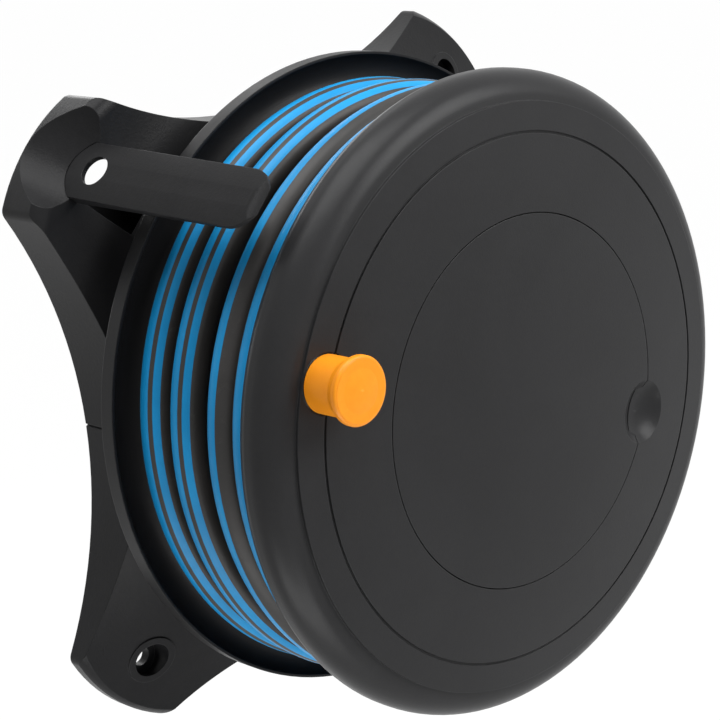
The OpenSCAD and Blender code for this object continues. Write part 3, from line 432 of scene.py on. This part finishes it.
bpy.ops.object.select_all(action="DESELECT")
bpy.ops.mesh.primitive_cube_add(size=1, location=(0, 0, (GRIP_FROM + GRIP_TO) / 2))
bpy.context.object.scale = (2 * GRIP_HIGH, 2 * GRIP_WIDE, GRIP_TO - GRIP_FROM)
bpy.ops.object.transform_apply(location=True, scale=True)
plug = edit_new("plug_moulded_body")
bpy.ops.mesh.select_mode(type="EDGE")
bpy.ops.mesh.select_all(action="DESELECT")
bm = bmesh.from_edit_mesh(plug.data)
for edge in bm.edges:                               # the four that run along the plug
    if abs(edge.verts[0].co.z - edge.verts[1].co.z) > (GRIP_TO - GRIP_FROM) / 2:
        edge.select_set(True)
bmesh.update_edit_mesh(plug.data)
bpy.ops.mesh.bevel(offset=GRIP_ROUNDING, segments=ROUNDING_STEPS, affect="EDGES")
bpy.ops.mesh.select_mode(type="FACE")
pick_faces(plug, lambda face: face.normal.z > 0.9)
rows = [(GRIP_TO, GRIP_HIGH, GRIP_WIDE)]
for k in range(1, RIDGE_ROWS + 1):
    t = k / RIDGE_ROWS
    wave = 0.5 - 0.5 * math.cos(2 * math.pi * RIDGES * t)
    rows.append((GRIP_TO + RIDGES_LONG * t, GRIP_HIGH - RIDGE_ABOVE * RIDGE_DEPTH * wave,
                 GRIP_WIDE - RIDGE_DEPTH * wave))
rows.append((PLUG_LENGTH - END_ROUNDING, GRIP_HIGH, GRIP_WIDE))
for k in range(1, END_ROWS + 1):
    a = math.pi / 2 * k / END_ROWS
    in_by = END_ROUNDING * (1 - math.cos(a))
    rows.append((PLUG_LENGTH - END_ROUNDING * (1 - math.sin(a)), GRIP_HIGH - in_by,
                 GRIP_WIDE - in_by))
draw_out(rows)
pick_faces(plug, lambda face: face.normal.z < -0.9)
rows = [(GRIP_FROM + (RELIEF_LENGTH - GRIP_FROM) * k / NECK_ROWS,
         mix(GRIP_HIGH, NECK, k / NECK_ROWS), mix(GRIP_WIDE, NECK, k / NECK_ROWS))
        for k in range(NECK_ROWS + 1)]
draw_out(rows)
set_on_cord(plug)
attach(plug, "drum")
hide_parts("plug_body")
dress(rubber("moulded_rubber", linear(40, 40, 41), linear(50, 49, 49), 0.00003), relief, plug,
      nodes["plug_relief"], nodes["plug_body"])

# Metal: fine streaks in its tone and its surface, and slightly rounded edges.
brushed_metal, ask, give, coords = new_group(
    "brushed_metal", [("Scale", 900.0), ("Depth", 0.00002), ("Edge radius", 0.0002)],
    ["Normal", "Streak"])
tree = brushed_metal
stretch = tree.nodes.new("ShaderNodeMapping")
stretch.inputs["Scale"].default_value = (1.0, 0.12, 1.0)
tree.links.new(coords, stretch.inputs["Vector"])
streaks = add(tree, "ShaderNodeTexNoise", in_Detail=4.0, in_Roughness=0.65)
tree.links.new(stretch.outputs[0], streaks.inputs["Vector"])
tree.links.new(ask.outputs["Scale"], streaks.inputs["Scale"])
rounded = add(tree, "ShaderNodeBevel", samples=4)
tree.links.new(ask.outputs["Edge radius"], rounded.inputs["Radius"])
bump = add(tree, "ShaderNodeBump", in_Strength=1.0)
tree.links.new(streaks.outputs["Fac"], bump.inputs["Height"])
tree.links.new(ask.outputs["Depth"], bump.inputs["Distance"])
tree.links.new(rounded.outputs[0], bump.inputs["Normal"])
tree.links.new(bump.outputs[0], give.inputs["Normal"])
tree.links.new(streaks.outputs["Fac"], give.inputs["Streak"])


def metal(name, bright, dull, rough, scale=900.0):
    """Bare or plated metal with the fine streaks of its making."""
    material, tree, shader, surface = new_material(name, brushed_metal, Scale=scale)
    tree.links.new(blend_colours(tree, surface.outputs["Streak"], dull, bright),
                   shader.inputs["Base Color"])
    tree.links.new(sums(tree, "MULTIPLY_ADD", surface.outputs["Streak"], 0.2, rough - 0.1),
                   shader.inputs["Roughness"])
    tree.links.new(surface.outputs["Normal"], shader.inputs["Normal"])
    shader.inputs["Metallic"].default_value = 1.0
    return material


stamped_brass = metal("stamped_brass", linear(220, 186, 108), linear(188, 150, 78), 0.32)
dress(stamped_brass, nodes["plug_pins"])

# ---------------------------------------------------------------- cord inside the barrel
# The cord's root has the same rubber jacket, without the stripes. It comes in through a hole
# in the barrel's wall, and the clamp holds it a little behind its stripped end.

FLOOR_T, FLOOR_GAP = 0.0035, 0.0008                 # the barrel's floor, and clear of it
HOLE_DEPTH = WEB + FLOOR_T + CORD_R + FLOOR_GAP     # from the wall
HOLE_ANGLE = 30
STRIPPED_R = 0.0530                                 # where the jacket ends, from the axis
TAIL_SIDES, TAIL_STEPS = 36, 12
TAIL_R = CORD_R - 0.00002
TAIL_END = [0.0068, 0.0074]                         # the jacket's rounded end


def spoke(radius, side, depth):
    """A point beside the barrel's radius through the cord's hole."""
    a = math.radians(HOLE_ANGLE)
    return Vector((radius * math.cos(a) - side * math.sin(a), -depth,
                   radius * math.sin(a) + side * math.cos(a)))


tail_path = [spoke(STRIPPED_R + (BARREL_R - STRIPPED_R) * k / TAIL_STEPS, 0, HOLE_DEPTH)
             for k in range(TAIL_STEPS + 1)]
tail, _ = tube("cord_inside_barrel", tail_path,
               TAIL_END + [TAIL_R] * (len(tail_path) - len(TAIL_END)), TAIL_SIDES,
               first=Vector((0, 1, 0)))
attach(tail, "drum")
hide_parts("cord_tail")
dress(rubber("cord_jacket_plain", linear(48, 47, 46), linear(58, 56, 55), 0.00002), tail,
      nodes["cord_tail"])

# ---------------------------------------------------------------- wall bracket
# One hollow moulding of black glass-filled nylon, open towards the wall and ribbed inside,
# with four arms and a screw hole at the end of each. A spark-eroded mould gives it its grain.

moulded_surface, ask, give, coords = new_group(
    "moulded_surface",
    [("Grain scale", 1800.0), ("Grain height", 0.00003), ("Edge radius", 0.0006)],
    ["Normal", "Tone", "Polish", "Wear"])
tree = moulded_surface
grain = add(tree, "ShaderNodeTexNoise", in_Detail=3.0, in_Roughness=0.6)
pits = add(tree, "ShaderNodeTexVoronoi", feature="SMOOTH_F1")
for node in (grain, pits):
    tree.links.new(coords, node.inputs["Vector"])
tree.links.new(ask.outputs["Grain scale"], grain.inputs["Scale"])
tree.links.new(sums(tree, "MULTIPLY", ask.outputs["Grain scale"], 0.62), pits.inputs["Scale"])
rounded = add(tree, "ShaderNodeBevel", samples=6)
tree.links.new(ask.outputs["Edge radius"], rounded.inputs["Radius"])
bump = add(tree, "ShaderNodeBump", in_Strength=1.0)
tree.links.new(sums(tree, "MULTIPLY_ADD", pits.outputs["Distance"], 0.7, grain.outputs["Fac"]),
               bump.inputs["Height"])
tree.links.new(ask.outputs["Grain height"], bump.inputs["Distance"])
tree.links.new(rounded.outputs[0], bump.inputs["Normal"])
tree.links.new(bump.outputs[0], give.inputs["Normal"])
cloud = noise_at(tree, coords, in_Scale=14.0, in_Detail=5.0, in_Roughness=0.62,
                 in_Distortion=0.4)
speck = noise_at(tree, coords, in_Scale=420.0, in_Detail=2.0)
tree.links.new(smooth_step(tree, sums(tree, "MULTIPLY_ADD", speck, 0.35, cloud), 0.4, 0.95),
               give.inputs["Tone"])
tree.links.new(noise_at(tree, coords, in_Scale=46.0, in_Detail=4.0, in_Distortion=1.2),
               give.inputs["Polish"])
bent = add(tree, "ShaderNodeVectorMath", operation="DOT_PRODUCT")
tree.links.new(rounded.outputs[0], bent.inputs[0])
tree.links.new(tree.nodes.new("ShaderNodeNewGeometry").outputs["Normal"], bent.inputs[1])
rubbed = noise_at(tree, coords, in_Scale=90.0, in_Detail=6.0, in_Roughness=0.7)
tree.links.new(sums(tree, "MULTIPLY", smooth_step(tree, bent.outputs["Value"], 0.995, 0.86),
                    smooth_step(tree, rubbed, 0.42, 0.62)), give.inputs["Wear"])


def plastic(name, dark, light, worn, rough, grain=1800.0, height=0.00003, edge=0.0006,
            specular=0.15, coat=0.0, rub=0.35):
    """Moulded plastic: clouded between two tones, paler where its edges are rubbed."""
    material, tree, shader, surface = new_material(
        name, moulded_surface, Grain_scale=grain, Grain_height=height, Edge_radius=edge)
    base = blend_colours(tree, surface.outputs["Tone"], dark, light)
    tree.links.new(blend_colours(tree, sums(tree, "MULTIPLY", surface.outputs["Wear"], rub),
                                 base, worn), shader.inputs["Base Color"])
    tree.links.new(sums(tree, "MULTIPLY_ADD", surface.outputs["Polish"], 0.12, rough - 0.06),
                   shader.inputs["Roughness"])
    tree.links.new(surface.outputs["Normal"], shader.inputs["Normal"])
    shader.inputs["Specular IOR Level"].default_value = specular
    shader.inputs["Coat Weight"].default_value = coat
    shader.inputs["Coat Roughness"].default_value = 0.2
    return material


bracket_nylon = plastic("bracket_nylon", linear(31, 31, 32), linear(37, 37, 38),
                        linear(78, 78, 79), 0.3, grain=1500.0, height=0.00005, specular=0.09)
dress(bracket_nylon, nodes["wall_bracket"])

# ---------------------------------------------------------------- guide arm
# A flat bar of the same nylon that keeps the cord on the drum. Screws from the wall side hold
# its foot to the bracket's upper left arm.

dress(bracket_nylon, nodes["guide_arm"])

zinc_steel = metal("zinc_plated_steel", linear(196, 198, 202), linear(150, 152, 158), 0.34)
dress(zinc_steel, nodes["guide_arm_screws"])

# ---------------------------------------------------------------- spindle
# A turned aluminium spindle, screwed to the bracket from the wall side. A steel thrust washer
# lies behind the drum's hub, and a washer and a screw at its end keep the drum on.

dress(metal("turned_aluminium", linear(204, 206, 208), linear(176, 178, 182), 0.38, 600.0),
      nodes["spindle"])
dress(zinc_steel, nodes["spindle_screws"], nodes["thrust_washer"], nodes["retaining_washer"],
      nodes["retaining_screw"])

# ---------------------------------------------------------------- bushes
# Two plain bearing bushes, turned from natural acetal and pressed into the drum's hub.

dress(plastic("bearing_acetal", linear(216, 212, 200), linear(226, 222, 212),
              linear(238, 236, 228), 0.4, grain=2600.0, height=0.00001, edge=0.0003),
      nodes["rear_bush"], nodes["front_bush"])

# ---------------------------------------------------------------- drum
# The barrel, with its hub and ribs, carries the rear flange on screws from behind and the
# front disc on screws from the front. All three are moulded in a darker polypropylene.

drum_polypropylene = plastic("drum_polypropylene", linear(22, 22, 23), linear(27, 27, 28),
                             linear(64, 64, 66), 0.4, grain=2200.0, height=0.000025)
dress(drum_polypropylene, nodes["drum_barrel"], nodes["rear_flange"], nodes["front_disc"])
dress(zinc_steel, nodes["rear_flange_screws"], nodes["front_disc_screws"])

# ---------------------------------------------------------------- sockets
# The socket panel is screwed to the front disc, under the lid. Brass contacts lie behind its
# four sockets, and the cut-out's red reset button stands on a small steel spring.

panel_nylon = plastic("panel_nylon", linear(64, 64, 66), linear(71, 71, 73),
                      linear(112, 112, 114), 0.42, grain=2400.0, height=0.00002, edge=0.0003)
dress(panel_nylon, nodes["socket_panel"], nodes["cutout_body"])
dress(stamped_brass, nodes["socket_contacts"])
dress(zinc_steel, nodes["panel_screws"], nodes["button_spring"])
dress(plastic("button_red", linear(190, 28, 22), linear(202, 34, 26), linear(222, 96, 84), 0.3,
              grain=2400.0, height=0.00001, edge=0.0003, specular=0.5, coat=0.3),
      nodes["reset_button"])

# ---------------------------------------------------------------- clamp and leads
# A nylon saddle with two screws grips the cord's jacket inside the barrel. Three leads in
# black, green and white insulation leave the stripped end and bend forward to the contacts.

dress(panel_nylon, nodes["cord_clamp"])
dress(zinc_steel, nodes["cord_clamp_screws"])

LEAD_R, LEAD_BEND, LEAD_SIDES = 0.00155, 0.0042, 20
LEADS_FROM, LEADS_APART = 0.035, 0.008              # where they rise, from the axis
LEADS_ABREAST = 0.0042
JACKET_GAP = 0.0001
STRAIGHT_STEPS, BEND_STEPS, RISE_STEPS = 4, 8, 8
LEADS = (("live", "black", linear(24, 24, 25), linear(32, 32, 33)),
         ("earth", "green", linear(26, 104, 48), linear(34, 118, 58)),
         ("neutral", "white", linear(214, 212, 206), linear(226, 224, 220)))

lead_front = -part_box("lead_wires")[0].y
top = HOLE_DEPTH + LEAD_BEND
across = math.radians(HOLE_ANGLE)
for i, (name, colour_name, dark, light) in enumerate(LEADS):
    at, side = LEADS_FROM + LEADS_APART * i, LEADS_ABREAST * (i - 1)
    straight = STRIPPED_R - JACKET_GAP - at - LEAD_BEND
    path = [spoke(at + LEAD_BEND + straight * (STRAIGHT_STEPS - k) / STRAIGHT_STEPS, side,
                  HOLE_DEPTH) for k in range(STRAIGHT_STEPS + 1)]
    for k in range(1, BEND_STEPS + 1):
        a = math.pi / 2 * k / BEND_STEPS
        path.append(spoke(at + LEAD_BEND * (1 - math.sin(a)), side,
                          HOLE_DEPTH + LEAD_BEND * (1 - math.cos(a))))
    path += [spoke(at, side, top + (lead_front - top) * k / RISE_STEPS)
             for k in range(1, RISE_STEPS + 1)]
    lead, _ = tube(f"lead_{name}", path, [LEAD_R] * len(path), LEAD_SIDES,
                   first=Vector((-math.sin(across), 0, math.cos(across))))
    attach(lead, "drum")
    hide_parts("lead_wires")
    insulation = plastic(f"insulation_{colour_name}", dark, light, light, 0.4, grain=2600.0,
                         height=0.000008, edge=0.0002)
    dress(insulation, lead)
dress(insulation, nodes["lead_wires"])

# ---------------------------------------------------------------- front cover and lid
# The domed cover is moulded in satin black ABS and screwed on from behind. The lid snaps into
# it over the sockets with three catches, and the finger notch lets it be lifted.

satin_abs = plastic("satin_abs", linear(37, 37, 38), linear(41, 41, 42), linear(84, 84, 85),
                    0.34, grain=2000.0, height=0.00003, edge=0.0005, rub=0.25)
dress(satin_abs, nodes["front_cover"], nodes["lid_catches"])

# The lid's mesh lies on its dome, but the normals at the dome's pole are a little off and show
# as a pale mark. Round the pole the material takes the dome's own normal instead.
POLE_R, DOME_R = 0.012, 0.9
FACE_FROM, FACE_TO = 0.0008, 0.0014                 # the mend ends this far behind the front
lid_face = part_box("lid")[0].y
DOME_CENTRE = Vector((0, lid_face + DOME_R, 0))
lid_abs = satin_abs.copy()
lid_abs.name = "satin_abs_lid"
tree = lid_abs.node_tree
coords = tree.nodes.new("ShaderNodeTexCoord").outputs["Object"]
split = tree.nodes.new("ShaderNodeSeparateXYZ")
tree.links.new(coords, split.inputs[0])
from_axis = sums(tree, "SQRT", sums(tree, "ADD", sums(tree, "POWER", split.outputs["X"], 2),
                                    sums(tree, "POWER", split.outputs["Z"], 2)))
near_pole = sums(tree, "MULTIPLY",
                 smooth_step(tree, from_axis, POLE_R * 0.8, POLE_R, 1.0, 0.0),
                 smooth_step(tree, split.outputs["Y"], lid_face + FACE_FROM,
                             lid_face + FACE_TO, 1.0, 0.0))
radial = add(tree, "ShaderNodeVectorMath", operation="SUBTRACT")
tree.links.new(coords, radial.inputs[0])
radial.inputs[1].default_value = DOME_CENTRE
domed = add(tree, "ShaderNodeVectorMath", operation="NORMALIZE")
tree.links.new(radial.outputs[0], domed.inputs[0])
fine = add(tree, "ShaderNodeBump", in_Strength=1.0, in_Distance=0.00003)
tree.links.new(noise_at(tree, coords, in_Scale=2000.0, in_Detail=3.0, in_Roughness=0.6),
               fine.inputs["Height"])
tree.links.new(domed.outputs[0], fine.inputs["Normal"])
joined = add(tree, "ShaderNodeMix", data_type="VECTOR")
tree.links.new(near_pole, joined.inputs["Factor"])
shader = tree.nodes["Principled BSDF"]
tree.links.new(shader.inputs["Normal"].links[0].from_socket, joined.inputs[4])
tree.links.new(fine.outputs[0], joined.inputs[5])
tree.links.new(joined.outputs[1], shader.inputs["Normal"])
dress(lid_abs, nodes["lid"])

# ---------------------------------------------------------------- crank knob
# The orange knob turns on a steel shoulder screw in the cover: an ABS sleeve with a cap
# welded over its end.

dress(plastic("knob_abs", linear(249, 148, 20), linear(254, 158, 30), linear(255, 190, 96), 0.36,
              grain=2400.0, height=0.000015, edge=0.0004, specular=0.3),
      nodes["knob_sleeve"], nodes["knob_cap"])
dress(zinc_steel, nodes["knob_screw"])

# ---------------------------------------------------------------- floor
# A pale floor below the wall-mounted reel. The camera and the reflections see it white, and
# it keeps the reel's soft shadow.

FLOOR_SIZE, FLOOR_Z = 40, -0.75


def seen_directly(tree):
    """1 for rays from the camera and for reflected and refracted ones, 0 for light."""
    path = tree.nodes.new("ShaderNodeLightPath")
    reflected = sums(tree, "MAXIMUM", path.outputs["Is Glossy Ray"],
                     path.outputs["Is Transmission Ray"])
    return sums(tree, "MAXIMUM", path.outputs["Is Camera Ray"], reflected)


def shade_between(tree, factor, first, second, out):
    node = tree.nodes.new("ShaderNodeMixShader")
    tree.links.new(factor, node.inputs[0])
    tree.links.new(first.outputs[0], node.inputs[1])
    tree.links.new(second.outputs[0], node.inputs[2])
    tree.links.new(node.outputs[0], out.inputs["Surface"])


bpy.ops.object.select_all(action="DESELECT")
bpy.ops.mesh.primitive_plane_add(size=FLOOR_SIZE, location=(0, 0, FLOOR_Z))
floor = bpy.context.object
floor.name = floor.data.name = "floor"
bpy.ops.object.transform_apply(location=True)
floor_paint, tree, shader, _ = new_material("pale_floor")
shader.inputs["Base Color"].default_value = (0.6, 0.6, 0.6, 1)
shader.inputs["Roughness"].default_value = 0.8
glow = add(tree, "ShaderNodeEmission", in_Strength=1.08)
shade_between(tree, sums(tree, "MULTIPLY", seen_directly(tree), 0.9), shader, glow,
              tree.nodes["Material Output"])
dress(floor_paint, floor)

# ---------------------------------------------------------------- light
# A large soft lamp high in front, a second one above, a long low one that lights the bracket's
# undersides, one behind for the ribs, and an even fill. The left side is the shaded one.

world = bpy.data.worlds.new("studio")
bpy.context.scene.world = world
world.use_nodes = True
tree = world.node_tree
room = add(tree, "ShaderNodeBackground", in_Strength=0.2)
white = tree.nodes["Background"]
for node in (room, white):
    node.inputs["Color"].default_value = (1, 1, 1, 1)
white.inputs["Strength"].default_value = 1.0
shade_between(tree, seen_directly(tree), room, white, tree.nodes["World Output"])


def soft_lamp(name, size, watts, place, target=(0, -0.09, 0)):
    data = bpy.data.lights.new(name, "AREA")
    data.shape, data.size, data.size_y, data.energy = "RECTANGLE", size[0], size[1], watts
    lamp = bpy.data.objects.new(name, data)
    bpy.context.scene.collection.objects.link(lamp)
    way = Vector(target) - Vector(place)
    lamp.matrix_world = (Matrix.Translation(place)
                         @ way.to_track_quat("-Z", "Y").to_matrix().to_4x4())


soft_lamp("lamp_front", (1.4, 1.2), 38, (0.95, -1.7, 1.1))
soft_lamp("lamp_above", (1.4, 1.0), 24, (-0.2, -0.2, 1.5))
soft_lamp("lamp_low", (1.0, 0.3), 5, (-0.45, -0.45, -0.7))
soft_lamp("lamp_behind", (1.4, 1.0), 16, (0.3, 1.6, 0.5), (0, 0, 0))

bpy.context.scene.view_settings.view_transform = "Standard"
